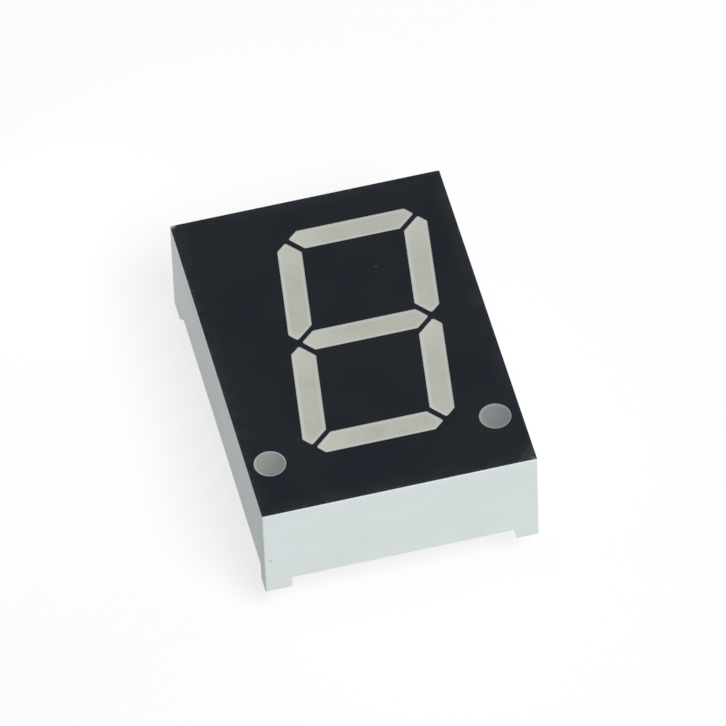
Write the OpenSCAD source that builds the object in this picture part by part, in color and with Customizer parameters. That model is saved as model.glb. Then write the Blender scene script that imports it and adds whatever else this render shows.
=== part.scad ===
// Single-digit seven segment display with a point on each side, for through-hole mounting.
// The lead tips stand on Z = 0, +Z points out of the face and +Y towards the top of the digit.
// A moulded reflector holds one resin-filled funnel for each segment and point. A circuit board
// with the light-emitting dice closes the funnels, and potting resin seals it in from behind.

/* [Body] */
// Width of the body, across the digit
body_w = 20.0; // [19.6:0.1:25]
// Height of the body, along the digit
body_h = 27.7; // [27.2:0.1:34]
// Depth from the face to the back edge of the short walls
body_depth = 7.5; // [6.2:0.1:10]
// How much sooner the long walls end than the short walls
side_rise = 0.6; // [0.2:0.1:1]
// Thickness of the outer walls
wall_t = 1.1; // [0.9:0.02:1.32]
// Thickness of the front plate between the funnels
face_t = 1.0; // [0.6:0.1:1.5]
// Radius of the upright corners
corner_r = 0.12; // [0.1:0.01:0.5]
// Bevel round the front edge
edge_bevel = 0.05; // [0.03:0.01:0.3]
// Thickness of the ink on the face
ink_t = 0.04; // [0.02:0.01:0.1]

/* [Feet] */
// How far the corner feet stand out behind the short walls
foot_h = 1.15; // [0.5:0.05:2]
// Length of each foot along the short wall
foot_x = 1.95; // [1.5:0.05:3]
// Length of the bottom and the top feet along the long wall, where they stand on a board
foot_y = [1.2, 1.7]; // [1.15:0.05:2]
// How far the two top feet ramp out from there to the edge of the long wall
foot_ramp = 1.5; // [0:0.1:3]
// How much the other free side of each foot leans in along the long wall
foot_draft = 0.12; // [0:0.02:0.3]
// How much the free side of the left and the right feet leans in along the short wall
foot_lean = [0, 0.3]; // [0:0.01:0.4]
// Bevel round the underside of a foot
foot_bevel = 0.15; // [0.05:0.05:0.25]

/* [Digit] */
// Height of the upright digit, over its outer edges
digit_h = 20.4; // [17:0.1:22]
// Width of the digit, over its outer edges
digit_w = 11.1; // [9.5:0.1:11.5]
// Width of each segment
segment_w = 1.78; // [1.5:0.02:2.14]
// Gap between neighbouring segments
segment_gap = 0.36; // [0.2:0.02:0.6]
// How far the 45 degree cuts at the corners of the digit stop outside the centre lines' crossing
corner_reach = 0.22; // [0.1:0.02:0.4]
// Rounding of the segment corners
segment_round = 0.15; // [0.05:0.01:0.2]
// Lean of the digit, in degrees
slant = 8; // [0:0.5:10]
// Middle of the digit, right of the middle of the face
digit_x = 1.2; // [0:0.1:1.4]
// Middle of the digit, above the middle of the face
digit_y = 0.8; // [0:0.1:1]

/* [Points] */
// Diameter of each point
point_d = 2.3; // [1.8:0.1:2.6]
// Distance between the middles of the two points
point_spread = 16.4; // [16:0.1:16.8]
// Middle of the pair, right of the middle of the face
point_shift = -0.1; // [-0.2:0.05:0.2]
// How much higher the middles of the points stand than the bottom of the digit
point_rise = 0.06; // [-0.1:0.02:0.1]
// Diameter of a point's funnel where it meets the board
point_foot_d = 1.4; // [1.3:0.1:1.5]
// How much nearer to the middle of the body a point's funnel meets the board
point_lean = 0.3; // [0.2:0.05:0.4]

/* [Funnels] */
// Bare rim of the moulding between each window's ink and the resin
rim_w = 0.07; // [0.04:0.01:0.12]
// Lean of the funnel walls, in degrees
funnel_draft = 4.3; // [1:0.1:5]
// Thickness of the walls that stand round the funnels
funnel_wall = 0.65; // [0.4:0.05:0.8]

/* [Board] */
// Thickness of the laminate
board_t = 1.0; // [0.8:0.1:1.2]
// Gap between the board's edge and the walls
board_clear = 0.15; // [0.05:0.05:0.2]
// Thickness of the copper
copper_t = 0.035; // [0.02:0.005:0.07]
// Width of the tracks
track_w = 0.3; // [0.2:0.05:0.35]
// Width of the pads under the dice
pad_w = 0.6; // [0.5:0.05:0.7]
// Gap between neighbouring pads
pad_gap = 0.15; // [0.1:0.01:0.2]
// Width of the copper ring round each plated hole
ring_w = 0.11; // [0.08:0.01:0.13]
// Thickness of the plating in the holes
plating_t = 0.03; // [0.02:0.01:0.05]
// Thickness of the potting resin behind the board
back_cover = 1.0; // [0.8:0.1:1.4]
// How far the potting resin lies below the edge of the long walls
resin_recess = 0.25; // [0.1:0.05:0.5]

/* [Dice] */
// Side of each light-emitting die
die_w = 0.3; // [0.2:0.02:0.36]
// Height of each die
die_h = 0.25; // [0.15:0.01:0.35]
// Distance between the two dice of a segment
die_pitch = 3.2; // [2.4:0.1:3.8]
// Diameter of the bond wire
wire_d = 0.03; // [0.02:0.005:0.05]
// Distance from a die to where its wire lands
wire_reach = 0.7; // [0.6:0.05:0.8]
// Diameter and height of the ball at a wire's start
ball = [0.09, 0.03];

/* [Leads] */
// Diameter of the leads
lead_d = 0.5; // [0.4:0.05:0.6]
// Length of the leads below the feet
lead_below = 3.35; // [2.5:0.05:5]
// Distance between neighbouring leads
lead_pitch = 2.54; // [2.5:0.01:2.56]
// Distance between the two rows
row_spacing = 15.24; // [15.1:0.01:15.3]
// Bevel at the lead tips
lead_bevel = 0.1; // [0.05:0.01:0.15]
// Width of the flattened shank that grips the board, as a multiple of the lead's diameter
shank_spread = 1.2; // [1.1:0.05:1.3]
// How far the shank shows behind the resin
shank_out = 0.35; // [0.2:0.05:0.4]
// Height of the solder cone behind the board
solder_h = 0.45; // [0.3:0.05:0.6]

/* [Hidden] */
$fn = 48;

LETTERS = ["a", "b", "c", "d", "e", "f", "g"];
// The side of the digit on which each segment lies: right of its middle, above its middle
SIDES = [[0, 1], [1, 1], [1, -1], [0, -1], [-1, -1], [-1, 1], [0, 0]];
// The end of each segment at which its current leaves, along its own direction
CATHODE_END = [-1, -1, -1, 1, -1, -1, 1];
// The lead of each segment
SEGMENT_LEAD = [2, 15, 13, 11, 5, 3, 14];
// Lead positions in use, of 9 down the left side and 9 up the right side
LEADS = [2, 3, 4, 5, 6, 7, 10, 11, 12, 13, 14, 15, 17];
ROW_PLACES = 9;
POINTS = [["left", -1], ["right", 1]];

// Levels, from the lead tips up
z_seat = lead_below;
z_wall = z_seat + foot_h;
z_side = z_wall + side_rise;
z_resin = z_side + resin_recess;
z_back = z_resin + back_cover;
z_board = z_back + board_t;
z_copper = z_board + copper_t;
z_face = z_wall + body_depth;
z_print = z_face - ink_t;

inner_w = body_w - 2 * wall_t;
inner_h = body_h - 2 * wall_t;
board_w = inner_w - 2 * board_clear;
board_h = inner_h - 2 * board_clear;

// The digit's strokes run along centre lines this far from its middle
half_u = (digit_w - segment_w) / 2;
half_v = (digit_h - segment_w) / 2;
half_gap = segment_gap * sqrt(2) / 2;
funnel_inset = rim_w + (z_print - z_copper) * tan(funnel_draft);
point_y = digit_y - digit_h / 2 + point_rise;

// Pads along a segment, from its middle towards the cathode end. A die stands on each of the
// first two, and a wire lands on each of the last two.
pad_margin = 0.35;
pad_1 = [-die_pitch / 2 - pad_margin, -die_pitch / 2 + wire_reach - 2 * pad_gap];
pad_2 = [pad_1[1] + pad_gap, die_pitch / 2 + pad_margin];
pad_3 = [pad_2[1] + pad_gap, die_pitch / 2 + wire_reach + pad_margin];
anode_at = (pad_1[0] + pad_1[1]) / 2;
cathode_at = (pad_3[0] + pad_3[1]) / 2;
point_pad = [0.5, 0.45];

// The shank is pressed flat from the round lead, so its section has the same area
shank_w = shank_spread * lead_d;
shank_t = PI * lead_d * lead_d / 4 / shank_w;
solder_gap = 0.04;
solder_r = norm([shank_w, shank_t]) / 2 + solder_gap;
hole_r = solder_r + plating_t;
ring_r = hole_r + ring_w;

// Tracks outside the rows run midway between the holes' rings and the board's edge
edge_space = board_w / 2 - row_spacing / 2 - ring_r;
edge_track_x = board_w / 2 - edge_space / 2;
edge_track_w = min(track_w, edge_space / 2);
track_bend = edge_track_x - row_spacing / 2;

// Cuts run on past a surface by this much
past = 0.5;

function unit(v) = v / norm(v);
function total(v, i = 0) = i == len(v) ? 0 : v[i] + total(v, i + 1);
function doubled_area(p) =
    total([for (i = [0:len(p) - 1]) let(a = p[i], b = p[(i + 1) % len(p)]) a[0] * b[1] - a[1] * b[0]]);
function counter_clockwise(p) =
    doubled_area(p) > 0 ? p : [for (i = [len(p) - 1:-1:0]) p[i]];

// The arc that rounds corner b between its neighbours a and c
function corner_arc(a, b, c, r, steps = 3) =
    let(
        ua = unit(a - b),
        uc = unit(c - b),
        half = acos(ua * uc) / 2,
        middle = b + unit(ua + uc) * r / sin(half),
        from = b + ua * r / tan(half) - middle,
        to = b + uc * r / tan(half) - middle,
        turn = 180 - 2 * half
    )
    [for (k = [0:steps]) middle
        + (from * sin(turn * (1 - k / steps)) + to * sin(turn * k / steps)) / sin(turn)];
function rounded(p, r) =
    let(n = len(p))
    [for (i = [0:n - 1]) each corner_arc(p[(i + n - 1) % n], p[i], p[(i + 1) % n], r)];

// From a segment's own p, along it, and q, outwards from its centre line, to the upright digit
function in_digit(i, p, q) =
    let(u = SIDES[i][0], v = SIDES[i][1])
    u == 0 ? [p, v * half_v + (v == 0 ? q : v * q)] : [u * (half_u + q), v * p];
// From the upright digit to the face: the digit leans and stands off centre
function on_face(p) = [digit_x + p[0] + p[1] * tan(slant), digit_y + p[1]];

// Start and end of a segment along its centre line. Each end has two 45 degree cuts, given by
// how far they lie inside that point on the inner and the outer side.
function lies_flat(i) = SIDES[i][0] == 0;
function is_middle(i) = SIDES[i] == [0, 0];
function start_of(i) = lies_flat(i) ? -half_u : 0;
function end_of(i) = lies_flat(i) ? half_u : half_v;
function middle_of(i) = (start_of(i) + end_of(i)) / 2;
function end_cuts(i) = is_middle(i) ? [0, 0] : [half_gap, -corner_reach];
function start_cuts(i) = lies_flat(i) ? end_cuts(i) : [2 * half_gap, 0];

// Outline of a segment on the face, drawn in on all sides by inset
function segment_outline(i, inset = 0) =
    let(
        t = segment_w / 2 - inset,
        s = inset * sqrt(2),
        a = start_cuts(i),
        b = end_cuts(i),
        from = start_of(i) + s,
        to = end_of(i) - s,
        corners = [
            [from + a[0] + t, -t],
            [to - b[0] - t, -t],
            [to - (b[0] + b[1]) / 2, (b[0] - b[1]) / 2],
            [to - b[1] - t, t],
            [from + a[1] + t, t],
            [from + (a[0] + a[1]) / 2, (a[0] - a[1]) / 2]
        ]
    )
    rounded([for (c = corners) on_face(in_digit(i, c[0], c[1]))], segment_round);

// A place on a segment's centre line, at a distance from its middle towards the cathode end
function along(i, p) = on_face(in_digit(i, middle_of(i) + CATHODE_END[i] * p, 0));
function direction(i) = unit(along(i, 1) - along(i, 0));
// From its last pad, an upright segment's current first runs outwards, clear of its other pads
function cathode_path(i) =
    let(pad = along(i, cathode_at), out = SIDES[i][0] * (pad_w / 2 + pad_gap + track_w))
    concat([pad], out == 0 ? [] : [pad + [out, 0]], [lead_at(SEGMENT_LEAD[i])]);

// Position 1 is at the top left, and the numbers run down the left row and up the right row
function lead_at(n) = n <= ROW_PLACES
    ? [-row_spacing / 2, ((ROW_PLACES + 1) / 2 - n) * lead_pitch]
    : [row_spacing / 2, (n - (3 * ROW_PLACES + 1) / 2) * lead_pitch];
function between_leads(y) = (floor(y / lead_pitch) + 0.5) * lead_pitch;

// A point's funnel meets the board midway between two lead positions. Its die stands on one
// side of that place, and the wire lands on the other.
function point_at(side) = [point_shift + side * point_spread / 2, point_y];
function point_foot_at(side) = [point_at(side)[0] - side * point_lean, between_leads(point_y)];
function point_die_at(side) = point_foot_at(side) + [0, side * wire_reach / 2];
function point_land_at(side) = point_foot_at(side) - [0, side * wire_reach / 2];
function circle_points(c, d, n = 32) =
    [for (k = [0:n - 1]) c + d / 2 * [cos(360 * k / n), sin(360 * k / n)]];

// Every die with the direction of its wire: two in each segment, one in each point
function segment_dice(i) = [for (s = [-1, 1]) [along(i, s * die_pitch / 2), direction(i)]];
function point_dice(side) = [[point_die_at(side), [0, -side]]];

module rounded_rect(w, h, r) {
    square([w - 2 * r, h], center = true);
    square([w, h - 2 * r], center = true);
    for (x = [-1, 1], y = [-1, 1])
        translate([x * (w / 2 - r), y * (h / 2 - r)]) circle(r);
}

// A solid between two outlines with the same number of points
module loft(low, high, z_low, z_high) {
    a = counter_clockwise(low);
    b = counter_clockwise(high);
    n = len(a);
    polyhedron(
        points = concat([for (p = a) [p[0], p[1], z_low]], [for (p = b) [p[0], p[1], z_high]]),
        faces = concat(
            [[for (i = [0:n - 1]) i]],
            [[for (i = [n - 1:-1:0]) n + i]],
            [for (i = [0:n - 1]) [i, n + i, n + (i + 1) % n]],
            [for (i = [0:n - 1]) [i, n + (i + 1) % n, (i + 1) % n]]
        )
    );
}

// The space that a segment's resin fills, from the board's copper to the face
module segment_funnel(i)
    loft(segment_outline(i, funnel_inset), segment_outline(i, rim_w), z_copper, z_print);

module point_funnel(side)
    loft(
        circle_points(point_foot_at(side), point_foot_d),
        circle_points(point_at(side), point_d - 2 * rim_w),
        z_copper, z_print
    );

// The walls round the funnels stand back to back, so that they form one figure
module funnel_walls()
    translate([0, 0, z_copper]) linear_extrude(z_print - face_t / 2 - z_copper) {
        for (i = [0:6]) polygon(segment_outline(i, rim_w - funnel_wall));
        for (p = POINTS) translate(point_at(p[1])) circle(d = point_d + 2 * funnel_wall);
    }

module body_block()
    translate([0, 0, z_wall]) linear_extrude(z_print - z_wall) rounded_rect(body_w, body_h, corner_r);

module inner_space(from, to)
    translate([-inner_w / 2, -inner_h / 2, from]) cube([inner_w, inner_h, to - from]);

module front_bevels() {
    leg = edge_bevel * sqrt(2);
    for (side = [0:3])
        rotate(side * 90)
            translate([0, (side % 2 == 0 ? body_h : body_w) / 2, z_print])
                rotate([45, 0, 0]) cube([body_h + body_w, leg, leg], center = true);
}

// A corner foot carries both walls of its corner down to the seat, bevelled round its underside
module foot(x, y) {
    corner = [x * body_w / 2, y * body_h / 2];
    lean_x = foot_lean[x > 0 ? 1 : 0];
    seat_y = foot_y[y > 0 ? 1 : 0];
    lean_y = y > 0 ? foot_ramp : foot_draft;
    function corner_box(in_x, in_y, inset = 0) = [for (c = [[0, 0], [1, 0], [1, 1], [0, 1]])
        corner - [x * (inset + c[0] * (in_x - 2 * inset)), y * (inset + c[1] * (in_y - 2 * inset))]];
    intersection() {
        union() {
            loft(
                corner_box(foot_x - lean_x, seat_y, foot_bevel),
                corner_box(foot_x - lean_x, seat_y),
                z_seat, z_seat + foot_bevel
            );
            loft(
                corner_box(foot_x - lean_x, seat_y), corner_box(foot_x, seat_y + lean_y),
                z_seat + foot_bevel, z_side
            );
        }
        translate([0, 0, z_seat]) linear_extrude(z_side - z_seat) difference() {
            rounded_rect(body_w, body_h, corner_r);
            square([inner_w, inner_h], center = true);
        }
    }
}

module reflector_housing() color("whitesmoke") difference() {
    union() {
        difference() {
            body_block();
            inner_space(z_wall - past, z_print - face_t);
            translate([-body_w, -inner_h / 2, z_wall - past])
                cube([2 * body_w, inner_h, side_rise + past]);
        }
        intersection() {
            funnel_walls();
            body_block();
        }
        for (x = [-1, 1], y = [-1, 1]) foot(x, y);
    }
    for (i = [0:6]) segment_funnel(i);
    for (p = POINTS) point_funnel(p[1]);
    front_bevels();
}

module face_print()
    color("#23272c") translate([0, 0, z_print]) linear_extrude(ink_t) difference() {
        rounded_rect(body_w - 2 * edge_bevel, body_h - 2 * edge_bevel, corner_r);
        for (i = [0:6]) polygon(segment_outline(i));
        for (p = POINTS) translate(point_at(p[1])) circle(d = point_d);
    }

module die(at)
    translate([at[0] - die_w / 2, at[1] - die_w / 2, z_copper]) cube([die_w, die_w, die_h]);

module dice(list) color("#c8a840") for (d = list) die(d[0]);

// A ball on the die, an arch away from it and a leg down to the pad
module bond_wire(at, towards) {
    top = die_h + ball[1];
    translate([at[0], at[1], z_copper]) rotate(atan2(towards[1], towards[0])) {
        translate([0, 0, die_h]) cylinder(d = ball[0], h = ball[1]);
        translate([wire_reach / 2, 0, top]) rotate([90, 0, 0])
            rotate_extrude(angle = 180) translate([wire_reach / 2, 0]) circle(d = wire_d);
        translate([wire_reach, 0, 0]) cylinder(d = wire_d, h = top);
    }
}

// Resin is cast round the dice and their wires
module cast_round(list) difference() {
    children();
    for (d = list) {
        die(d[0]);
        bond_wire(d[0], d[1]);
    }
}

module segment(i) color("#b4b5a9") cast_round(segment_dice(i)) segment_funnel(i);

module point(side) color("#878b87") cast_round(point_dice(side)) point_funnel(side);

module bond_wires() color("gold") {
    for (i = [0:6], d = segment_dice(i)) bond_wire(d[0], d[1]);
    for (p = POINTS, d = point_dice(p[1])) bond_wire(d[0], d[1]);
}

module board_block()
    translate([-board_w / 2, -board_h / 2, z_back]) cube([board_w, board_h, board_t]);

module at_lead(n, z) translate([lead_at(n)[0], lead_at(n)[1], z]) children();

module circuit_board() color("#b9a76c") difference() {
    board_block();
    for (n = LEADS) at_lead(n, z_back - past) cylinder(r = hole_r, h = board_t + 2 * past);
}

module pad(i, span)
    polygon([for (c = [[0, -1], [1, -1], [1, 1], [0, 1]])
        on_face(in_digit(i, middle_of(i) + CATHODE_END[i] * span[c[0]], c[1] * pad_w / 2))]);

// A track through a list of places, with round joints
module track(path, w = track_w) {
    for (p = path) translate(p) circle(d = w);
    for (k = [1:len(path) - 1]) {
        step = path[k] - path[k - 1];
        translate(path[k - 1]) rotate(atan2(step[1], step[0]))
            translate([0, -w / 2]) square([norm(step), w]);
    }
}

// Each cathode runs out to its own lead. The anodes meet inside the digit, on an upper and a
// lower rail with a spine between them, and leave at leads 4, 6, 12 and 17.
module front_copper() {
    anode = [for (i = [0:6]) along(i, anode_at)];
    left = -1;
    right = 1;
    for (i = [0:6]) {
        for (span = [pad_1, pad_2, pad_3]) pad(i, span);
        track(cathode_path(i));
    }
    for (p = POINTS, at = [point_die_at(p[1]), point_land_at(p[1])])
        translate(at) square(point_pad, center = true);
    track([point_land_at(left), lead_at(7)]);
    track([point_land_at(right), lead_at(10)]);
    track([anode[5], anode[1], lead_at(17)]);
    track([anode[0], [anode[0][0], anode[1][1]]]);
    track([[anode[6][0], anode[1][1]], [anode[6][0], anode[2][1]]]);
    track([anode[4], anode[2], lead_at(12)]);
    track([[anode[3][0], anode[2][1]], anode[3], point_die_at(left)]);
    track([lead_at(6), [lead_at(6)[0] + lead_pitch / 2, anode[4][1]], anode[4]]);
    track([
        lead_at(4), [-edge_track_x, lead_at(4)[1] - track_bend],
        [-edge_track_x, lead_at(6)[1] + track_bend], lead_at(6)
    ], edge_track_w);
    track([
        lead_at(12), [edge_track_x, lead_at(12)[1] - track_bend],
        [edge_track_x, point_die_at(right)[1]], point_die_at(right)
    ], edge_track_w);
    for (n = LEADS) translate(lead_at(n)) circle(ring_r);
}

module board_tracks() color("#b87333") difference() {
    union() {
        translate([0, 0, z_board]) linear_extrude(copper_t) front_copper();
        for (n = LEADS) {
            at_lead(n, z_back - copper_t) cylinder(r = ring_r, h = copper_t);
            at_lead(n, z_back - copper_t) cylinder(r = hole_r, h = board_t + 2 * copper_t);
        }
    }
    for (n = LEADS) at_lead(n, z_back - past) cylinder(r = solder_r, h = board_t + 2 * past);
}

module shank_of(n)
    at_lead(n, z_resin - shank_out)
        translate([-shank_w / 2, -shank_t / 2, 0])
            cube([shank_w, shank_t, z_copper - z_resin + shank_out]);

module solder_cone(n)
    at_lead(n, z_back - copper_t - solder_h) cylinder(r1 = solder_r, r2 = ring_r, h = solder_h);

module solder_joints() color("silver") for (n = LEADS) difference() {
    union() {
        solder_cone(n);
        at_lead(n, z_back - copper_t) cylinder(r = solder_r, h = z_copper - z_back + copper_t);
    }
    shank_of(n);
}

module lead(n) color("silver") {
    at_lead(n, 0) cylinder(r1 = lead_d / 2 - lead_bevel, r2 = lead_d / 2, h = lead_bevel);
    at_lead(n, lead_bevel) cylinder(d = lead_d, h = z_resin - shank_out - lead_bevel);
    shank_of(n);
}

// Potting fills the back of the housing round the board, the solder and the leads
module back_resin() color("#d8d6c8") difference() {
    inner_space(z_resin, z_board);
    board_block();
    for (n = LEADS) {
        at_lead(n, z_back - copper_t) cylinder(r = ring_r, h = copper_t + past);
        solder_cone(n);
        shank_of(n);
    }
}

reflector_housing();
face_print();
for (i = [0:6]) segment(i);
for (p = POINTS) point(p[1]);
circuit_board();
board_tracks();
for (i = [0:6]) dice(segment_dice(i));
for (p = POINTS) dice(point_dice(p[1]));
bond_wires();
solder_joints();
back_resin();
for (n = LEADS) lead(n);
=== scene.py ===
from math import cos, exp, hypot, pi, radians, sin

import bmesh
import bpy
from mathutils import Matrix, Vector


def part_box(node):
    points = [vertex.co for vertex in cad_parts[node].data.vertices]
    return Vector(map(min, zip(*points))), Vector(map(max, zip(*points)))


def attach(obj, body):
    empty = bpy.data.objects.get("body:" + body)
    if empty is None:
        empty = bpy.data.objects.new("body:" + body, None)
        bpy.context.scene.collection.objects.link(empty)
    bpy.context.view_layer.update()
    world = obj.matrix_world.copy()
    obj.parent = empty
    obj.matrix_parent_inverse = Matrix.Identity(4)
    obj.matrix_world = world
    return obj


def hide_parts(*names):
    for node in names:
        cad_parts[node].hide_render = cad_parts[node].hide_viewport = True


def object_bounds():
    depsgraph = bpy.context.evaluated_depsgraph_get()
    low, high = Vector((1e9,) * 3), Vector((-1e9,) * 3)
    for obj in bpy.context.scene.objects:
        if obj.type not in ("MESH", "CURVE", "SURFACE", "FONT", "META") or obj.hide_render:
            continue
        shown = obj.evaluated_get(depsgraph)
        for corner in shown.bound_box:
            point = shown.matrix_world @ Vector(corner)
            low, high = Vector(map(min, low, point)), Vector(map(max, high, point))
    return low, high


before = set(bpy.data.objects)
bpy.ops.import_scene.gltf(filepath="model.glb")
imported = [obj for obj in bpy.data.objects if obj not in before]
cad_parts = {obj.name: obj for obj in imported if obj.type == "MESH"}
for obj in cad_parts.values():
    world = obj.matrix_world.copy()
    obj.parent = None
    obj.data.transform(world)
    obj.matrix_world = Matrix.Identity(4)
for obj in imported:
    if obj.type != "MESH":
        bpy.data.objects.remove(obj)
cad_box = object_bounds()


# ---------------------------------------------------------------------------------------------
# The housing: one moulding of white, heavily filled plastic. Its front plate holds the light
# funnels, its walls carry four corner feet, and the mould was spark-eroded to a fine satin skin.
# ---------------------------------------------------------------------------------------------

MM = 0.001
HAIR = 0.001 * MM
MERGE_DISTANCE = 0.0005 * MM
HOUSING = "reflector_housing"
housing_low, housing_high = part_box(HOUSING)
resin_low, resin_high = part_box("back_resin")
INNER_X, INNER_Y = resin_high.x, resin_high.y

# Depths below the front plate's face at which a tone begins and is full: a painted highlight along
# the top of the walls, the ink that laps over it, and the film of resin on the funnels' rims.
EDGE_HIGHLIGHT_DEPTHS = (0.30 * MM, 0.14 * MM)
INK_LAP_DEPTHS = (0.045 * MM, 0.030 * MM)
FILM_DEPTHS = (0.020 * MM, 0.004 * MM)
INK_LAP_WIDTH = 0.08 * MM

GATE_MARK = (-9.55 * MM, housing_low.y, 6.77 * MM)
GATE_CORE, GATE_RADIUS = 0.08 * MM, 0.17 * MM
CHIPPED_CORNER = (housing_low.x + 0.11 * MM, housing_high.y, housing_high.z)
CHIP_BARE, CHIP_RADIUS = 0.14 * MM, 0.42 * MM
POINT_RADIUS, POINT_SURROUND = 1.3 * MM, 1.5 * MM

WHITE, WHITE_STREAK = (0.728, 0.798, 0.790), (0.750, 0.820, 0.815)
# A painted highlight: the lighter white of the band along the top of the walls.
EDGE_HIGHLIGHT_WHITE = (0.820, 0.875, 0.900)
GATE_GREY = (0.40, 0.43, 0.45)
GRIME_GREY = (0.40, 0.40, 0.38)
LAPPED_INK = (0.006, 0.009, 0.013)
SEGMENT_FILM = (0.45, 0.468, 0.435)
# Round the right point the film is darker than round the left one, which is painted shade.
POINT_FILM_AND_SHADE = {"left": (0.45, 0.465, 0.48), "right": (0.36, 0.385, 0.38)}


def one_skin(node):
    """A node's mesh with its corners joined and its flat faces whole again."""
    skin = bmesh.new()
    skin.from_mesh(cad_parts[node].data)
    bmesh.ops.remove_doubles(skin, verts=skin.verts, dist=MERGE_DISTANCE)
    bmesh.ops.dissolve_limit(skin, angle_limit=radians(0.5), verts=skin.verts, edges=skin.edges)
    return skin


def make_piece(name, skin, material, sharp_over=40):
    """Turns a bmesh into a piece that shades round up to an angle, and rides on the body. Shading
    left over from the CAD node's loose triangles is dropped, because it hides the sharp edges."""
    mesh = bpy.data.meshes.new(name)
    skin.to_mesh(mesh)
    skin.free()
    if "custom_normal" in mesh.attributes:
        mesh.attributes.remove(mesh.attributes["custom_normal"])
    mesh.polygons.foreach_set("use_smooth", [True] * len(mesh.polygons))
    mesh.set_sharp_from_angle(angle=radians(sharp_over))
    mesh.materials.append(material)
    piece = bpy.data.objects.new(name, mesh)
    bpy.context.collection.objects.link(piece)
    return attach(piece, "root")


class Finish:
    """A material's shader and the pattern nodes that feed it, all set by the piece's own place."""

    def __init__(self, name, **sockets):
        self.material = bpy.data.materials.new(name)
        self.material.use_nodes = True
        self.tree = self.material.node_tree
        self.shader = self.tree.nodes["Principled BSDF"]
        for socket, value in sockets.items():
            self.shader.inputs[socket.replace("_", " ")].default_value = value
        self.place = self.node("TexCoord").outputs["Object"]

    def node(self, kind, **settings):
        made = self.tree.nodes.new("ShaderNode" + kind)
        for setting, value in settings.items():
            setattr(made, setting, value)
        return made

    def feed(self, socket, value):
        if isinstance(value, bpy.types.NodeSocket):
            self.tree.links.new(value, socket)
        else:
            socket.default_value = value

    def axes(self):
        """The piece's place as three values: across, up the digit, and height over the table."""
        parts = self.node("SeparateXYZ")
        self.feed(parts.inputs["Vector"], self.place)
        return parts.outputs[:]

    def squeezed(self, scale):
        """The piece's place with its height scaled: over 1 flattens a pattern, under 1 draws it
        out upwards."""
        mapping = self.node("Mapping", vector_type="POINT")
        self.feed(mapping.inputs["Vector"], self.place)
        mapping.inputs["Scale"].default_value = (1, 1, scale)
        return mapping.outputs["Vector"]

    def mottle(self, size, detail=2, roughness=0.5, place=None):
        """Soft cloudy noise from 0 to 1, with patches of about this size."""
        noise = self.node("TexNoise")
        self.feed(noise.inputs["Vector"], place or self.place)
        noise.inputs["Scale"].default_value = 1 / size
        noise.inputs["Detail"].default_value = detail
        noise.inputs["Roughness"].default_value = roughness
        return noise.outputs["Fac"]

    def patches(self, size, to_low=0.0, to_high=1.0, detail=2):
        """Cloudy patches of about this size, held at two values and soft between them."""
        return self.span(self.mottle(size, detail), 0.3, 0.7, to_low, to_high)

    def specks(self, spacing, radius):
        """1 at scattered small specks, fading to 0 at their radius."""
        cells = self.node("TexVoronoi")
        self.feed(cells.inputs["Vector"], self.place)
        cells.inputs["Scale"].default_value = 1 / spacing
        return self.span(cells.outputs["Distance"], radius / spacing, 0.4 * radius / spacing)

    def span(self, value, low, high, to_low=0.0, to_high=1.0):
        """Reads value from low to high as to_low to to_high, and holds it at the ends."""
        ranged = self.node("MapRange", interpolation_type="SMOOTHSTEP")
        self.feed(ranged.inputs["Value"], value)
        for socket, setting in zip(("From Min", "From Max", "To Min", "To Max"),
                                   (low, high, to_low, to_high)):
            ranged.inputs[socket].default_value = setting
        return ranged.outputs["Result"]

    def near(self, point, inside, outside):
        """1 within a distance of a point, fading to 0 further out."""
        away = self.node("VectorMath", operation="DISTANCE")
        self.feed(away.inputs[0], self.place)
        away.inputs[1].default_value = point
        return self.span(away.outputs["Value"], outside, inside)

    def maths(self, operation, a, b=0.0):
        step = self.node("Math", operation=operation)
        self.feed(step.inputs[0], a)
        self.feed(step.inputs[1], b)
        return step.outputs["Value"]

    def plus(self, a, b):
        return self.maths("ADD", a, b)

    def minus(self, a, b):
        return self.maths("SUBTRACT", a, b)

    def times(self, a, b):
        return self.maths("MULTIPLY", a, b)

    def larger(self, a, b):
        return self.maths("MAXIMUM", a, b)

    def tone(self, factor, plain, changed):
        """The plain colour where factor is 0, and the changed one where it is 1."""
        mix = self.node("Mix", data_type="RGBA")
        self.feed(mix.inputs["Factor"], factor)
        # The node names its sockets alike for each kind of value, and these are the colour ones.
        for socket, colour in ((mix.inputs[6], plain), (mix.inputs[7], changed)):
            self.feed(socket, colour if isinstance(colour, bpy.types.NodeSocket) else (*colour, 1))
        return mix.outputs[2]

    def relief(self, *layers):
        """Bumps one on another: each is a height from 0 to 1 and its depth in metres."""
        normal = None
        for height, depth in layers:
            bump = self.node("Bump")
            bump.inputs["Strength"].default_value = 1
            bump.inputs["Distance"].default_value = depth
            self.feed(bump.inputs["Height"], height)
            if normal:
                self.feed(bump.inputs["Normal"], normal)
            normal = bump.outputs["Normal"]
        self.feed(self.shader.inputs["Normal"], normal)

    def colour(self, value):
        self.feed(self.shader.inputs["Base Color"], value)

    def roughness(self, value):
        self.feed(self.shader.inputs["Roughness"], value)


moulded = Finish("moulded_white_plastic", IOR=1.5, Specular_IOR_Level=0.35)
across, up_digit, height = moulded.axes()


def up_to_face(depths):
    """0 from the feet to the first depth below the face, and 1 above the second."""
    return moulded.span(height, housing_high.z - depths[0], housing_high.z - depths[1])


flow = moulded.mottle(7 * MM, detail=3, place=moulded.squeezed(2.5))
skin_grain = moulded.mottle(0.09 * MM)
white = moulded.tone(moulded.span(flow, 0.35, 0.65), WHITE, WHITE_STREAK)
# Painted highlight: the housing is lighter within 0.3 mm below the face, a light line along the
# top of the walls.
white = moulded.tone(up_to_face(EDGE_HIGHLIGHT_DEPTHS), white, EDGE_HIGHLIGHT_WHITE)

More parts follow.
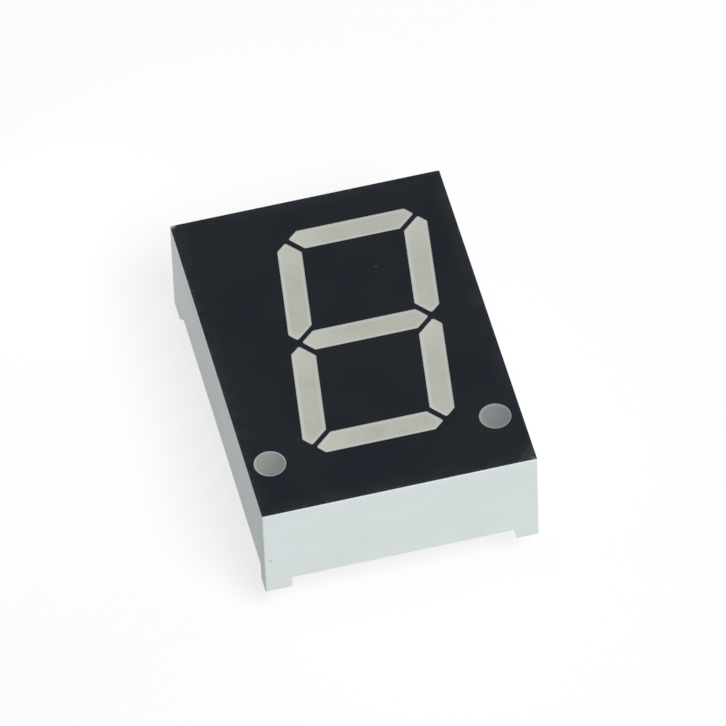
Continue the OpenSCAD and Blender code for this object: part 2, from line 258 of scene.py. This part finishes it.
film = SEGMENT_FILM
# The film round each point takes that point's tone, and the right one's darker tone is painted
# shade.
for side, point_film_and_shade in POINT_FILM_AND_SHADE.items():
    low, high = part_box(f"point_{side}")
    point_middle = ((low.x + high.x) / 2, (low.y + high.y) / 2, high.z)
    film = moulded.tone(moulded.near(point_middle, POINT_RADIUS, POINT_SURROUND), film, point_film_and_shade)
white = moulded.tone(up_to_face(FILM_DEPTHS), white, film)

gate = moulded.near(GATE_MARK, GATE_CORE, GATE_RADIUS)
white = moulded.tone(moulded.times(gate, 0.45), white, GATE_GREY)
grime = moulded.specks(spacing=2.3 * MM, radius=0.035 * MM)
white = moulded.tone(moulded.times(grime, 0.25), white, GRIME_GREY)

past_side = moulded.minus(moulded.maths("ABSOLUTE", across), housing_high.x - INK_LAP_WIDTH)
past_end = moulded.minus(moulded.maths("ABSOLUTE", up_digit), housing_high.y - INK_LAP_WIDTH)
at_outline = moulded.span(moulded.larger(past_side, past_end), 0.0, 0.01 * MM)
not_chipped = moulded.minus(1, moulded.near(CHIPPED_CORNER, CHIP_BARE, CHIP_RADIUS))
ink_lap = moulded.times(up_to_face(INK_LAP_DEPTHS), moulded.times(at_outline, not_chipped))
moulded.colour(moulded.tone(ink_lap, white, LAPPED_INK))
moulded.roughness(moulded.patches(0.5 * MM, 0.42, 0.52))
moulded.relief(
    (flow, 0.01 * MM),
    (skin_grain, 0.0025 * MM),
    (moulded.minus(1, gate), 0.03 * MM),
)

# Heights that part the feet's soles, the walls' back edges and the front plate.
SOLES = housing_low.z + 0.2 * MM
BACK_EDGES = resin_low.z + 0.1 * MM
PLATE_BACK = housing_high.z - 1 * MM
BACK_ROUND, SOLE_ROUND, FACE_ROUND = 0.13 * MM, 0.07 * MM, 0.02 * MM
OUTLINE_BAND = 0.2 * MM
SHARP_EDGE = radians(25)


def soften(skin, depth, wanted):
    """Rounds the sharp outer edges whose ends are all wanted ones."""
    edges = [
        edge for edge in skin.edges
        if edge.is_manifold and edge.is_convex and edge.calc_face_angle() > SHARP_EDGE
        and all(wanted(corner.co) for corner in edge.verts)
    ]
    bmesh.ops.bevel(
        skin, geom=edges, offset=depth, offset_type="OFFSET", segments=3, profile=0.5,
        affect="EDGES", clamp_overlap=True, material=-1,
    )


def is_outside(co):
    """On or past the inner faces of the walls."""
    return abs(co.x) > INNER_X - HAIR or abs(co.y) > INNER_Y - HAIR


def is_outline(co):
    """Close to the outer faces of the walls."""
    return abs(co.x) > housing_high.x - OUTLINE_BAND or abs(co.y) > housing_high.y - OUTLINE_BAND


housing_skin = one_skin(HOUSING)
soften(housing_skin, BACK_ROUND, lambda co: is_outside(co) and SOLES < co.z < BACK_EDGES)
soften(housing_skin, SOLE_ROUND, lambda co: is_outside(co) and co.z < SOLES)
soften(housing_skin, FACE_ROUND, lambda co: is_outline(co) and co.z > PLATE_BACK)
bmesh.ops.remove_doubles(housing_skin, verts=housing_skin.verts, dist=MERGE_DISTANCE)
housing = make_piece("moulded_housing", housing_skin, moulded.material)
housing.modifiers.new("flat_faces_stay_flat", "WEIGHTED_NORMAL").keep_sharp = True
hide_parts(HOUSING)


# ---------------------------------------------------------------------------------------------
# The face print: two passes of matt black ink, screen printed on the front plate round the
# windows. Its edge is rubbed and two of its corners are chipped, where the display has been
# handled, and two flecks of dust lie on it.
# ---------------------------------------------------------------------------------------------

INK_BLACK = (0.0014, 0.0043, 0.0084)
INK_WORN = (0.030, 0.034, 0.038)
INK_SCUFFED = (0.09, 0.10, 0.105)
DUST_GREY = (0.13, 0.14, 0.15)
BARE_PLASTIC = (0.38, 0.405, 0.39)
print_low, print_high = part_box("face_print")
HANDLED_CORNER = (print_high.x, print_low.y, print_high.z)
HANDLED_CORE, HANDLED_RADIUS = 0.2 * MM, 1.6 * MM
# Distances from the print's edge, and from its corners, at which the rubbing starts and is full.
EDGE_RUB, CORNER_RUB = (0.30 * MM, 0.05 * MM), (1.1 * MM, 0.2 * MM)
WORN_BAND = 1.4 * MM
BAND_WEAR, HANDLED_WEAR, SCUFF_WEAR = 0.26, 0.40, 0.65
# Each fleck's place across and up the digit, its radius, and how much of it shows. The last one
# is the small chip in the handled corner.
FLECKS = (
    (3.36 * MM, 6.24 * MM, 0.14 * MM, 0.40),
    (0.03 * MM, 5.72 * MM, 0.12 * MM, 0.12),
    (print_high.x - 0.2 * MM, print_low.y, 0.24 * MM, 1.0),
)


def coat_nodes(finish, *nodes):
    """Gives CAD nodes that keep their shape a finish of their own."""
    for node in nodes:
        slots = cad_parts[node].data.materials
        slots.clear()
        slots.append(finish.material)


ink = Finish("screen_printed_ink", IOR=1.5, Specular_IOR_Level=0.135)
across, up_digit, _ = ink.axes()
from_side = ink.minus(print_high.x, ink.maths("ABSOLUTE", across))
from_end = ink.minus(print_high.y, ink.maths("ABSOLUTE", up_digit))
from_edge = ink.maths("MINIMUM", from_side, from_end)
at_corner = ink.span(ink.plus(from_side, from_end), *CORNER_RUB)
handled = ink.near(HANDLED_CORNER, HANDLED_CORE, HANDLED_RADIUS)
rubbed = ink.larger(ink.times(at_corner, 0.5), handled)

worn_band = ink.times(ink.span(from_edge, WORN_BAND, 0.0),
                      ink.span(ink.mottle(1.6 * MM, detail=3), 0.28, 0.66))
worn = ink.patches(5 * MM, 0.0, 0.12, detail=3)
worn = ink.plus(worn, ink.times(worn_band, BAND_WEAR))
worn = ink.plus(worn, ink.times(handled, HANDLED_WEAR))
black = ink.tone(worn, INK_BLACK, INK_WORN)

scratches = ink.plus(ink.mottle(0.20 * MM, detail=4, roughness=0.7), ink.times(rubbed, 0.07))
near_edge = ink.larger(ink.span(from_edge, *EDGE_RUB), rubbed)
scuffs = ink.times(near_edge, ink.span(scratches, 0.53, 0.68))
black = ink.tone(ink.times(scuffs, SCUFF_WEAR), black, INK_SCUFFED)

flecks = 0.0
for fleck_x, fleck_y, radius, share in FLECKS:
    fleck = ink.near((fleck_x, fleck_y, print_high.z), 0.3 * radius, radius)
    flecks = ink.larger(flecks, ink.times(fleck, share))
ragged = ink.span(ink.mottle(0.09 * MM), 0.35, 0.60, 0.4, 1.0)
black = ink.tone(ink.times(flecks, ragged), black, DUST_GREY)
chip = ink.times(ink.near(CHIPPED_CORNER, CHIP_BARE, CHIP_RADIUS),
                 ink.span(ink.mottle(0.12 * MM), 0.3, 0.6, 0.6, 1.0))
ink.colour(ink.tone(chip, black, BARE_PLASTIC))
ink.roughness(ink.patches(1.2 * MM, 0.53, 0.57, detail=3))
mesh_marks = ink.mottle(0.11 * MM, detail=1)
ink.relief((mesh_marks, 0.002 * MM))
coat_nodes(ink, "face_print")


# ---------------------------------------------------------------------------------------------
# The segments and points: milky epoxy, cast into the funnels from behind against a tape. It sinks
# a little in the middle as it cures, and the white funnel walls glow through it at its rim. The
# points carry painted shade, and a painted highlight on the upper left of their rims.
# ---------------------------------------------------------------------------------------------

SINK, SINK_REACH = 0.03 * MM, 0.25 * MM
RIM_STEP = 0.10 * MM
CELL = 0.22 * MM
FACING_OUT = 0.99
# End places between which a tone comes in, and rim distances in millimetres.
UPPER_END, LOWER_END, GLOWING_END = (0.15, 0.85), (-0.75, -1.0), (0.80, 1.0)
SEGMENT_RIM, POINT_RIM = (0.27, 0.09), (0.20, 0.02)

MILKY, MILKY_CLOUD = (0.438, 0.446, 0.382), (0.468, 0.477, 0.414)
MILKY_UPPER_END, MILKY_LOWER_END = (0.513, 0.520, 0.452), (0.487, 0.496, 0.434)
RIM_GLOW, RIM_GLOW_UPPER_END = (0.532, 0.545, 0.507), (0.560, 0.572, 0.536)
# Each point's shaded and lit tones, which are painted shade and light, and the painted highlight
# on its rim.
POINT_SHADED_AND_LIT_TONES = {
    "left": ((0.176, 0.188, 0.178), (0.268, 0.276, 0.262)),
    "right": ((0.156, 0.170, 0.168), (0.214, 0.228, 0.223)),
}
POINT_RIM_HIGHLIGHT = (0.36, 0.38, 0.385)
POINT_SHADE_REACH = 1.4 * MM


def distance_to_side(point, start, end):
    side, away = end - start, point - start
    share = max(0, min(1, away.dot(side) / side.length_squared)) if side.length else 0
    return (away - share * side).length


def cast_in_funnel(name, node, material):
    """The node's plug with a finely divided front that sinks away from its rim. Two values go with
    each corner: its distance from the rim in millimetres, and its place from the lower or right
    end at -1 to the upper or left end at 1."""
    plug = one_skin(node)
    front = max(plug.faces, key=lambda face: face.normal.z * face.calc_area())
    outline = [corner.co.copy() for corner in front.verts]
    middle = sum(outline, Vector()) / len(outline)
    far = max(outline, key=lambda corner: (corner - middle).length) - middle
    if far.y < abs(far.x) and (far.x > 0 or far.y < -abs(far.x)):
        far.negate()
    bmesh.ops.inset_region(plug, faces=[front], thickness=RIM_STEP, use_even_offset=True)
    for direction in (Vector((1, 0, 0)), Vector((0, 1, 0))):
        reach = max(abs((corner - middle).dot(direction)) for corner in outline)
        for step in range(-int(reach / CELL), int(reach / CELL) + 1):
            faces = [face for face in plug.faces if face.normal.z > FACING_OUT
                     and all((corner.co - middle).length < far.length for corner in face.verts)]
            parts = dict.fromkeys(
                part for face in faces for part in (face, *face.edges, *face.verts))
            bmesh.ops.bisect_plane(plug, geom=list(parts), dist=0.01 * HAIR,
                                   plane_co=middle + step * CELL * direction, plane_no=direction)
    rim_distance = plug.verts.layers.float.new("rim_distance")
    end_place = plug.verts.layers.float.new("end_place")
    sides = list(zip(outline, outline[1:] + outline[:1]))
    for corner in plug.verts:
        if corner.co.z < middle.z - HAIR:
            continue
        away = min(distance_to_side(corner.co, *side) for side in sides)
        corner[rim_distance] = away / MM
        corner[end_place] = (corner.co - middle).dot(far.normalized()) / far.length
        corner.co.z -= SINK * (1 - exp(-away / SINK_REACH))
    piece = make_piece(name, plug, material)
    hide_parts(node)


def own_value(finish, name):
    """A value that the piece's own mesh carries."""
    return finish.node("Attribute", attribute_type="GEOMETRY", attribute_name=name).outputs["Fac"]


milky = Finish("milky_cast_resin", IOR=1.53)
end_place = own_value(milky, "end_place")
body = milky.tone(milky.patches(1.1 * MM, detail=3), MILKY, MILKY_CLOUD)
body = milky.tone(milky.span(end_place, *UPPER_END), body, MILKY_UPPER_END)
body = milky.tone(milky.span(end_place, *LOWER_END), body, MILKY_LOWER_END)
glow = milky.tone(milky.span(end_place, *GLOWING_END), RIM_GLOW, RIM_GLOW_UPPER_END)
at_rim = milky.span(own_value(milky, "rim_distance"), *SEGMENT_RIM)
milky.colour(milky.tone(milky.times(at_rim, 0.9), body, glow))
milky.roughness(milky.patches(0.4 * MM, 0.30, 0.40))
milky.relief((milky.mottle(0.16 * MM, detail=1), 0.002 * MM))
for letter in "abcdefg":
    cast_in_funnel(f"cast_segment_{letter}", f"segment_{letter}", milky.material)

# Painted shade and highlight: each point is lighter towards its upper left and darker towards its
# lower right, the right point is darker than the left, and a painted highlight lightens its rim on
# the upper left.
for side, (shaded_tone, lit) in POINT_SHADED_AND_LIT_TONES.items():
    low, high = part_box(f"point_{side}")
    dim = Finish(f"dim_cast_resin_{side}", IOR=1.53)
    across, up_digit, _ = dim.axes()
    to_upper_left = dim.minus(dim.minus(up_digit, (low.y + high.y) / 2),
                              dim.minus(across, (low.x + high.x) / 2))
    lit_side = dim.span(to_upper_left, -POINT_SHADE_REACH, POINT_SHADE_REACH)
    at_rim = dim.times(dim.span(own_value(dim, "rim_distance"), *POINT_RIM), lit_side)
    dim.colour(dim.tone(dim.times(at_rim, 0.5), dim.tone(lit_side, shaded_tone, lit), POINT_RIM_HIGHLIGHT))
    dim.roughness(dim.patches(0.4 * MM, 0.28, 0.38))
    dim.relief((dim.mottle(0.16 * MM, detail=1), 0.002 * MM))
    cast_in_funnel(f"cast_point_{side}", f"point_{side}", dim.material)


# ---------------------------------------------------------------------------------------------
# The circuit board behind the funnels: a glass-cloth laminate with copper on both sides, the
# light-emitting dice, their gold bond wires, and the solder that holds the leads in the holes.
# ---------------------------------------------------------------------------------------------

WARP_PITCH, WEFT_PITCH = 0.55 * MM, 0.45 * MM
LAMINATE, LAMINATE_CLOUD = (0.46, 0.39, 0.145), (0.52, 0.45, 0.18)
GLASS_THREAD = (0.60, 0.54, 0.27)
COPPER, DULL_COPPER = (0.62, 0.30, 0.17), (0.40, 0.19, 0.11)
DARK_DIE, PALE_DIE = (0.14, 0.12, 0.10), (0.24, 0.20, 0.16)
GOLD, PALE_GOLD = (0.80, 0.50, 0.10), (0.86, 0.58, 0.16)
SOLDER, FROSTY_SOLDER = (0.58, 0.58, 0.57), (0.48, 0.48, 0.48)

laminate = Finish("glass_cloth_laminate", IOR=1.55)
across, up_digit, _ = laminate.axes()
warp = laminate.maths("SINE", laminate.times(across, 2 * pi / WARP_PITCH))
weft = laminate.maths("SINE", laminate.times(up_digit, 2 * pi / WEFT_PITCH))
weave = laminate.span(laminate.times(warp, weft), -1, 1)
resin_tint = laminate.tone(laminate.patches(3 * MM, detail=3), LAMINATE, LAMINATE_CLOUD)
laminate.colour(laminate.tone(laminate.times(weave, 0.45), resin_tint, GLASS_THREAD))
laminate.roughness(laminate.span(weave, 0, 1, 0.34, 0.5))
laminate.relief((weave, 0.006 * MM))
coat_nodes(laminate, "circuit_board")

copper = Finish("etched_copper", Metallic=1.0)
dulled = copper.span(copper.mottle(0.9 * MM, detail=4), 0.4, 0.7)
copper.colour(copper.tone(dulled, COPPER, DULL_COPPER))
copper.roughness(copper.span(dulled, 0, 1, 0.28, 0.5))
copper.relief((copper.mottle(0.08 * MM), 0.002 * MM))
coat_nodes(copper, "board_tracks")

die = Finish("sawn_die", IOR=1.8)
sawn = die.mottle(0.03 * MM, place=die.squeezed(6))
die.colour(die.tone(die.span(sawn, 0.3, 0.7), DARK_DIE, PALE_DIE))
die.roughness(die.span(sawn, 0.3, 0.7, 0.25, 0.5))
die.relief((sawn, 0.001 * MM))
coat_nodes(die, *(f"dice_{letter}" for letter in "abcdefg"), "die_point_left", "die_point_right")

gold = Finish("drawn_gold_wire", Metallic=1.0)
drawn = gold.mottle(0.02 * MM)
gold.colour(gold.tone(gold.span(drawn, 0.3, 0.7), GOLD, PALE_GOLD))
gold.roughness(gold.span(drawn, 0.3, 0.7, 0.16, 0.26))
gold.relief((drawn, 0.0005 * MM))
coat_nodes(gold, "bond_wires")

solder = Finish("flowed_solder", Metallic=1.0)
frosty = solder.span(solder.mottle(0.25 * MM, detail=4), 0.4, 0.7)
solder.colour(solder.tone(frosty, SOLDER, FROSTY_SOLDER))
solder.roughness(solder.span(frosty, 0, 1, 0.16, 0.38))
solder.relief((frosty, 0.004 * MM))
coat_nodes(solder, "solder_joints")


# ---------------------------------------------------------------------------------------------
# The leads: round tinned wire, pressed flat where it grips the board and cropped to length at
# the tip. Each stands in its own plated hole, in two rows.
# ---------------------------------------------------------------------------------------------

LEADS = [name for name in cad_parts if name.startswith("lead_")]
TIN, DULL_TIN = (0.66, 0.66, 0.65), (0.60, 0.60, 0.595)
TIP_CHAMFER = 0.1 * MM
SHANK_SQUARENESS = 8
# Rings up a lead: the height over its tip, the share of its full radius, and how round it still
# is, from 1 for the drawn wire to 0 for the pressed shank.
LEAD_RINGS = (
    (0.035 * MM, 0.86, 1),
    (0.10 * MM, 1, 1),
    (2.4 * MM, 1, 1),
    (4.55 * MM, 1, 1),
    (4.70 * MM, 1, 0.9),
    (4.85 * MM, 1, 0.5),
    (5.0 * MM, 1, 0.12),
    (5.12 * MM, 1, 0),
)

tinned = Finish("tinned_wire", Metallic=1.0)
drawn_lines = tinned.mottle(0.05 * MM, place=tinned.squeezed(0.06))
dull_tin = tinned.span(tinned.mottle(0.5 * MM, detail=3, place=tinned.squeezed(0.3)), 0.35, 0.7)
tinned.colour(tinned.tone(dull_tin, TIN, DULL_TIN))
tinned.roughness(tinned.plus(tinned.span(dull_tin, 0, 1, 0.22, 0.28),
                             tinned.span(drawn_lines, 0.3, 0.7, 0.0, 0.05)))
tinned.relief((drawn_lines, 0.0008 * MM))


def grow(skin, edges):
    """Extrudes edges where they are, and gives the new edges and their corners."""
    grown = bmesh.ops.extrude_edge_only(skin, edges=edges)["geom"]
    return ([part for part in grown if isinstance(part, bmesh.types.BMEdge)],
            [part for part in grown if isinstance(part, bmesh.types.BMVert)])


def drawn_lead(name, node):
    """Round at the tip, and pressed to the shank's width and thickness where it leaves the resin.
    The press leaves short shoulders between the two."""
    low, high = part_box(node)
    middle = (low + high) / 2
    shank_w = high.x - low.x
    radius = (high.y - low.y) / 2
    shank_t = pi * radius ** 2 / shank_w
    lead = bmesh.new()
    bmesh.ops.create_circle(
        lead, cap_ends=True, segments=24, radius=radius - TIP_CHAMFER,
        matrix=Matrix.Translation((middle.x, middle.y, low.z)),
    )
    bmesh.ops.reverse_faces(lead, faces=lead.faces[:])
    edges = lead.edges[:]
    for height, share, roundness in LEAD_RINGS:
        edges, corners = grow(lead, edges)
        for corner in corners:
            away = corner.co - middle
            away.z = 0
            away.normalize()
            rounder = (abs(away.x) ** SHANK_SQUARENESS
                       + abs(away.y) ** SHANK_SQUARENESS) ** (1 / SHANK_SQUARENESS)
            flat = Vector((away.x * shank_w / 2, away.y * shank_t / 2, 0)) / rounder
            corner.co = middle + (away * radius * share).lerp(flat, 1 - roundness)
            corner.co.z = low.z + height
    _, corners = grow(lead, edges)
    for corner in corners:
        corner.co.z = high.z
    bmesh.ops.contextual_create(lead, geom=corners)
    bmesh.ops.recalc_face_normals(lead, faces=lead.faces)
    piece = make_piece(name, lead, tinned.material, sharp_over=50)
    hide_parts(node)
    return middle


lead_places = [drawn_lead(f"drawn_{node}", node) for node in LEADS]


# ---------------------------------------------------------------------------------------------
# The potting: cream epoxy poured over the back of the board. It climbs a little up the walls and
# the leads as it sets, and keeps a few small bubbles.
# ---------------------------------------------------------------------------------------------

POUR_CELL = 0.16 * MM
CLIMB, MOST_CLIMBS = 0.12 * MM, 1.1
WALL_CLIMB_REACH, LEAD_CLIMB_REACH = 0.35 * MM, 0.28 * MM
LEAD_CLIMB_START, LEAD_CLIMB_SHARE = 0.3 * MM, 0.9
CREAM, PALE_CREAM = (0.58, 0.565, 0.45), (0.63, 0.615, 0.51)
BUBBLE_CREAM = (0.42, 0.40, 0.31)

potting = Finish("poured_epoxy", IOR=1.54, Coat_Weight=0.3, Coat_Roughness=0.04)
swirl = potting.mottle(3.5 * MM, detail=3)
cream = potting.tone(potting.span(swirl, 0.3, 0.7), CREAM, PALE_CREAM)
bubbles = potting.specks(spacing=1.9 * MM, radius=0.09 * MM)
potting.colour(potting.tone(potting.times(bubbles, 0.5), cream, BUBBLE_CREAM))
potting.roughness(potting.patches(1.5 * MM, 0.10, 0.2, detail=3))
potting.relief((swirl, 0.03 * MM), (potting.minus(1, bubbles), 0.02 * MM))

pour = bmesh.new()
bmesh.ops.create_grid(
    pour, x_segments=round(2 * INNER_X / POUR_CELL), y_segments=round(2 * INNER_Y / POUR_CELL),
    size=1,
    matrix=Matrix.Translation((0, 0, resin_low.z)) @ Matrix.Diagonal((INNER_X, INNER_Y, 1, 1)),
)
bmesh.ops.reverse_faces(pour, faces=pour.faces)
for corner in pour.verts:
    spot = corner.co
    to_wall = min(INNER_X - abs(spot.x), INNER_Y - abs(spot.y))
    to_lead = min(hypot(spot.x - lead.x, spot.y - lead.y) for lead in lead_places)
    past_lead = max(to_lead - LEAD_CLIMB_START, 0)
    climbed = exp(-to_wall / WALL_CLIMB_REACH)
    climbed += LEAD_CLIMB_SHARE * exp(-past_lead / LEAD_CLIMB_REACH)
    corner.co.z -= CLIMB * min(climbed, MOST_CLIMBS)
rim_edges, rim_corners = grow(pour, [edge for edge in pour.edges if edge.is_boundary])
for corner in rim_corners:
    corner.co.z = resin_high.z
bmesh.ops.contextual_create(pour, geom=rim_edges)
bmesh.ops.recalc_face_normals(pour, faces=pour.faces)
poured = make_piece("poured_back", pour, potting.material, sharp_over=60)
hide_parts("back_resin")


# ---------------------------------------------------------------------------------------------
# The studio: a plain white table, one broad soft lamp high in front, and even light all round. A
# low lamp behind lifts the back and right walls, and a very weak one by the long left wall
# lightens that wall towards its far end.
# ---------------------------------------------------------------------------------------------

TABLE_HALF = 6
TABLE_GREY, TABLE_GREY_CLOUD = (0.53, 0.53, 0.53), (0.55, 0.55, 0.55)
TABLE_WHITENESS = 0.75
PURE_WHITE = (1, 1, 1)
SKY_TINT, SKY_LEVEL = (0.97, 0.985, 1.0), 0.22
LAMPS_AIM_AT = Vector((0, 0, 0.006))


def seen_directly(tree):
    """1 for what the camera, gloss or glass sees, and 0 for the light that reaches the object."""
    path = tree.nodes.new("ShaderNodeLightPath")
    seen = path.outputs["Is Camera Ray"]
    for ray in ("Is Glossy Ray", "Is Transmission Ray"):
        either = tree.nodes.new("ShaderNodeMath")
        either.operation = "MAXIMUM"
        tree.links.new(seen, either.inputs[0])
        tree.links.new(path.outputs[ray], either.inputs[1])
        seen = either.outputs[0]
    return seen


def show_white(tree, seen, share, shader, glow, output):
    """Where it is seen directly, this share of the shader gives way to plain white."""
    partly = tree.nodes.new("ShaderNodeMath")
    partly.operation = "MULTIPLY"
    partly.inputs[1].default_value = share
    tree.links.new(seen, partly.inputs[0])
    glow.inputs["Color"].default_value = (*PURE_WHITE, 1)
    glow.inputs["Strength"].default_value = 1
    mix = tree.nodes.new("ShaderNodeMixShader")
    for socket, source in zip(mix.inputs, (partly, shader, glow)):
        tree.links.new(source.outputs[0], socket)
    tree.links.new(mix.outputs[0], output.inputs["Surface"])


table = Finish("white_table", Roughness=0.9, Specular_IOR_Level=0.1)
table_output = table.tree.nodes["Material Output"]
table_seen = seen_directly(table.tree)
matt_top = table.tone(table.mottle(30 * MM), TABLE_GREY, TABLE_GREY_CLOUD)
table.colour(table.tone(table_seen, matt_top, PURE_WHITE))
show_white(table.tree, table_seen, TABLE_WHITENESS, table.shader, table.node("Emission"),
           table_output)
from_above = table_output.inputs["Surface"].links[0].from_socket
clear_from_below = table.node("MixShader")
table.feed(clear_from_below.inputs[0], table.node("NewGeometry").outputs["Backfacing"])
table.feed(clear_from_below.inputs[1], from_above)
table.feed(clear_from_below.inputs[2], table.node("BsdfTransparent").outputs[0])
table.feed(table_output.inputs["Surface"], clear_from_below.outputs[0])

table_skin = bmesh.new()
bmesh.ops.create_grid(table_skin, x_segments=1, y_segments=1, size=TABLE_HALF)
table_mesh = bpy.data.meshes.new("table_top")
table_skin.to_mesh(table_mesh)
table_skin.free()
table_mesh.materials.append(table.material)
table_top = bpy.data.objects.new("table_top", table_mesh)
bpy.context.collection.objects.link(table_top)

world = bpy.data.worlds.new("studio")
bpy.context.scene.world = world
world.use_nodes = True
tree = world.node_tree
sky = tree.nodes["Background"]
sky.inputs["Color"].default_value = (*SKY_TINT, 1)
sky.inputs["Strength"].default_value = SKY_LEVEL
show_white(tree, seen_directly(tree), 1, sky, tree.nodes.new("ShaderNodeBackground"),
           tree.nodes["World Output"])


def soft_lamp(name, place, size, watts):
    lamp = bpy.data.lights.new(name, "AREA")
    lamp.shape = "DISK"
    lamp.size = size
    lamp.energy = watts
    stand = bpy.data.objects.new(name, lamp)
    stand.location = place
    stand.rotation_euler = (LAMPS_AIM_AT - Vector(place)).to_track_quat("-Z", "Y").to_euler()
    stand.visible_camera = False
    bpy.context.collection.objects.link(stand)


soft_lamp("broad_front_lamp", place=(0.13, -0.47, 0.656), size=0.40, watts=5.72)
soft_lamp("low_back_lamp", place=(0.36, 0.42, 0.07), size=0.12, watts=1.4)
soft_lamp("low_side_fill", place=(-0.022, 0.031, 0.012), size=0.008, watts=0.00079)

# The camera stands in front, a little to the left, and looks down at just over half a right angle.
# A long lens keeps the display's edges nearly parallel.
AZIMUTH, ELEVATION, ROLL = radians(-12.461), radians(50.564), radians(-2.229)
SHIFT_RIGHT, SHIFT_UP, DISTANCE = -0.797 * MM, 1.573 * MM, 749.06 * MM
SENSOR_WIDTH, FOCAL_LENGTH = 36, 522.3471
NEAREST, FARTHEST = 0.01, 50
back = Vector((sin(AZIMUTH) * cos(ELEVATION), -cos(AZIMUTH) * cos(ELEVATION), sin(ELEVATION)))
right = (-back).cross(Vector((0, 0, 1))).normalized()
up = right.cross(-back)
turned_right = right * cos(ROLL) + up * sin(ROLL)
turned_up = up * cos(ROLL) - right * sin(ROLL)
lens = bpy.data.cameras.new("studio_camera")
lens.sensor_width = SENSOR_WIDTH
lens.lens = FOCAL_LENGTH
lens.clip_start, lens.clip_end = NEAREST, FARTHEST
camera = bpy.data.objects.new("studio_camera", lens)
face_middle = Vector((0, 0, cad_box[1][2]))
stand_place = face_middle - turned_right * SHIFT_RIGHT - turned_up * SHIFT_UP + back * DISTANCE
camera.matrix_world = Matrix((
    (turned_right.x, turned_up.x, back.x, stand_place.x),
    (turned_right.y, turned_up.y, back.y, stand_place.y),
    (turned_right.z, turned_up.z, back.z, stand_place.z),
    (0, 0, 0, 1),
))
bpy.context.collection.objects.link(camera)
bpy.context.scene.camera = camera
bpy.context.scene.view_settings.view_transform = "Standard"
